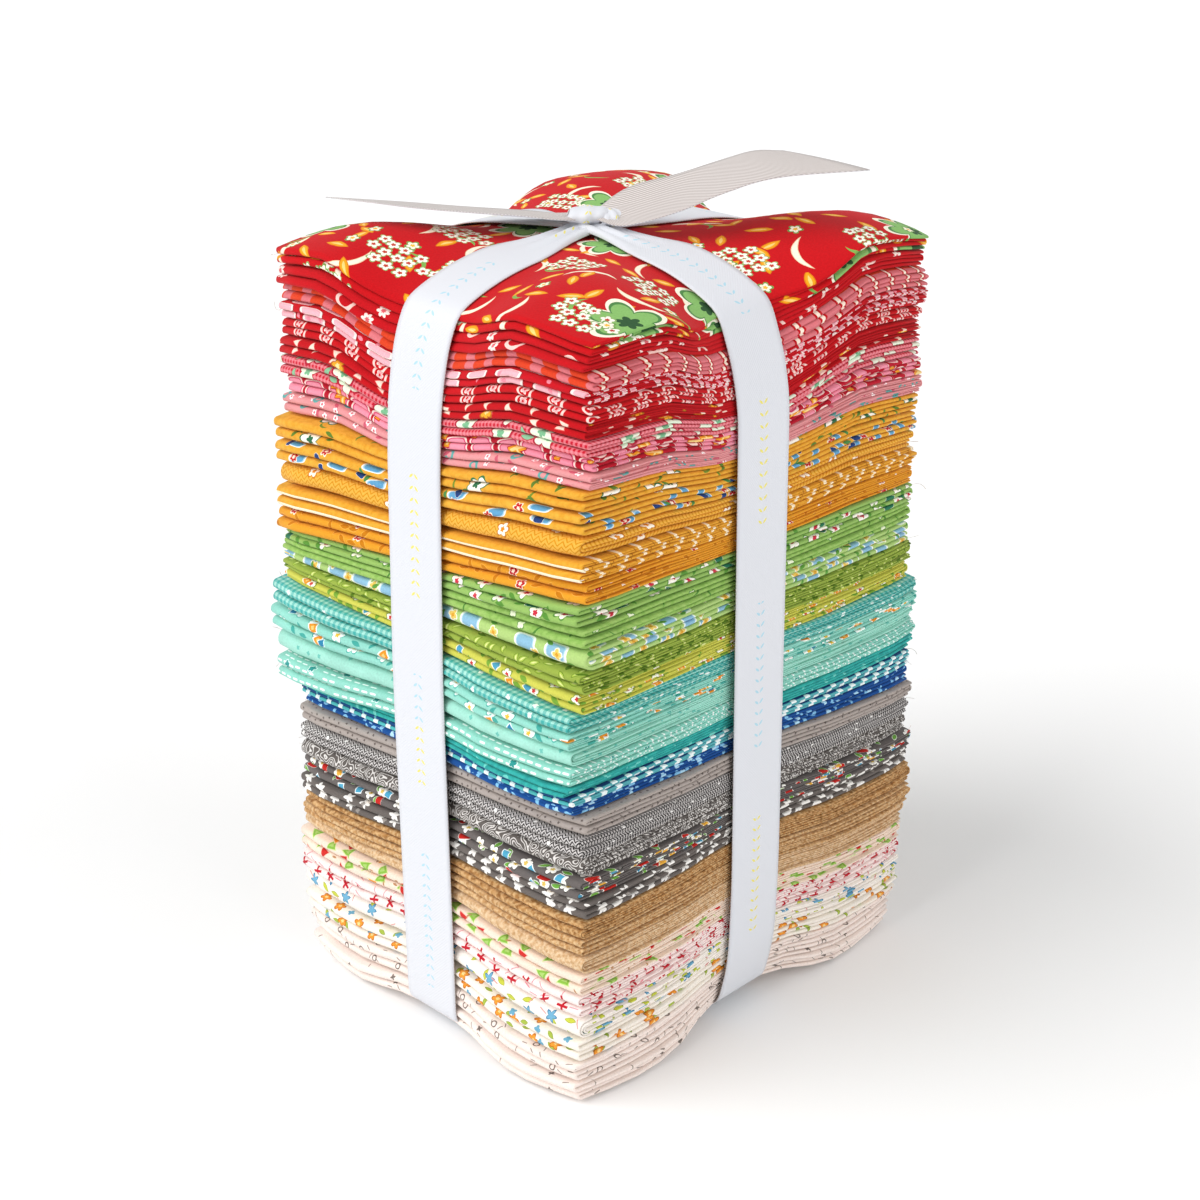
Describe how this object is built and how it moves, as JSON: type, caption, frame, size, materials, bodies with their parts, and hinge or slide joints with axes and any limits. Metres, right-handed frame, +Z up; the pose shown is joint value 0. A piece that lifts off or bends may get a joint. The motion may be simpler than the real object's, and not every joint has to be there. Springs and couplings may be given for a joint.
{
  "type": "fat quarter bundle",
  "caption": "Stack of folded cotton fat quarters in colour order, red to cream, tied crosswise with a white ribbon knotted on top.",
  "frame": {"origin": "under the middle of the bundle's box, on the surface that it rests on", "axes": "+Z up the stack; +Y along the long side of the folded pieces; -Y is the side with the smooth folds and +X the side with the cut and folded layers"},
  "size_m": [0.1201, 0.139, 0.2309],
  "materials": {
    "red_garden": "printed quilting cotton, matt",
    "red_fans": "printed quilting cotton, matt",
    "red_checks": "printed quilting cotton, matt",
    "red_bricks": "printed quilting cotton, matt",
    "red_rings": "printed quilting cotton, matt",
    "red_triangles": "printed quilting cotton, matt",
    "pink_basket": "printed quilting cotton, matt",
    "pink_patches": "printed quilting cotton, matt",
    "pink_sprigs": "printed quilting cotton, matt",
    "gold_sprigs": "printed quilting cotton, matt",
    "gold_blocks": "printed quilting cotton, matt",
    "gold_zigzag": "printed quilting cotton, matt",
    "gold_stripe": "printed quilting cotton, matt",
    "gold_leaves": "printed quilting cotton, matt",
    "green_blossom": "printed quilting cotton, matt",
    "green_stems": "printed quilting cotton, matt",
    "green_patches": "printed quilting cotton, matt",
    "green_leaves": "printed quilting cotton, matt",
    "citron_dots": "printed quilting cotton, matt",
    "aqua_gingham": "printed quilting cotton, matt",
    "aqua_blossom": "printed quilting cotton, matt",
    "aqua_plain": "printed quilting cotton, matt",
    "aqua_dashes": "printed quilting cotton, matt",
    "teal_plain": "printed quilting cotton, matt",
    "navy_plaid": "printed quilting cotton, matt",
    "royal_leaves": "printed quilting cotton, matt",
    "grey_pin_dots": "printed quilting cotton, matt",
    "grey_zigzag": "printed quilting cotton, matt",
    "grey_scroll": "printed quilting cotton, matt",
    "charcoal_blossom": "printed quilting cotton, matt",
    "charcoal_stars": "printed quilting cotton, matt",
    "tan_dark": "printed quilting cotton, matt",
    "tan_mottled": "printed quilting cotton, matt",
    "tan_light": "printed quilting cotton, matt",
    "cream_triangles": "printed quilting cotton, matt",
    "cream_crosses": "printed quilting cotton, matt",
    "white_stars": "printed quilting cotton, matt",
    "white_posies": "printed quilting cotton, matt",
    "cream_marks": "printed quilting cotton, matt",
    "cream_under": "printed quilting cotton, matt",
    "ribbon": "white twill ribbon, slight sheen"
  },
  "bodies": {
    "root": {"red_garden": "red_garden", "red_fans": "red_fans", "red_checks": "red_checks", "red_bricks": "red_bricks", "red_rings": "red_rings", "red_triangles": "red_triangles", "pink_basket": "pink_basket", "pink_patches": "pink_patches", "pink_sprigs": "pink_sprigs", "gold_sprigs": "gold_sprigs", "gold_blocks": "gold_blocks", "gold_zigzag": "gold_zigzag", "gold_stripe": "gold_stripe", "gold_leaves": "gold_leaves", "green_blossom": "green_blossom", "green_stems": "green_stems", "green_patches": "green_patches", "green_leaves": "green_leaves", "citron_dots": "citron_dots", "aqua_gingham": "aqua_gingham", "aqua_blossom": "aqua_blossom", "aqua_plain": "aqua_plain", "aqua_dashes": "aqua_dashes", "teal_plain": "teal_plain", "navy_plaid": "navy_plaid", "royal_leaves": "royal_leaves", "grey_pin_dots": "grey_pin_dots", "grey_zigzag": "grey_zigzag", "grey_scroll": "grey_scroll", "charcoal_blossom": "charcoal_blossom", "charcoal_stars": "charcoal_stars", "tan_dark": "tan_dark", "tan_mottled": "tan_mottled", "tan_light": "tan_light", "cream_triangles": "cream_triangles", "cream_crosses": "cream_crosses", "white_stars": "white_stars", "white_posies": "white_posies", "cream_marks": "cream_marks", "cream_under": "cream_under", "ribbon": "ribbon"}
  },
  "joints": []
}
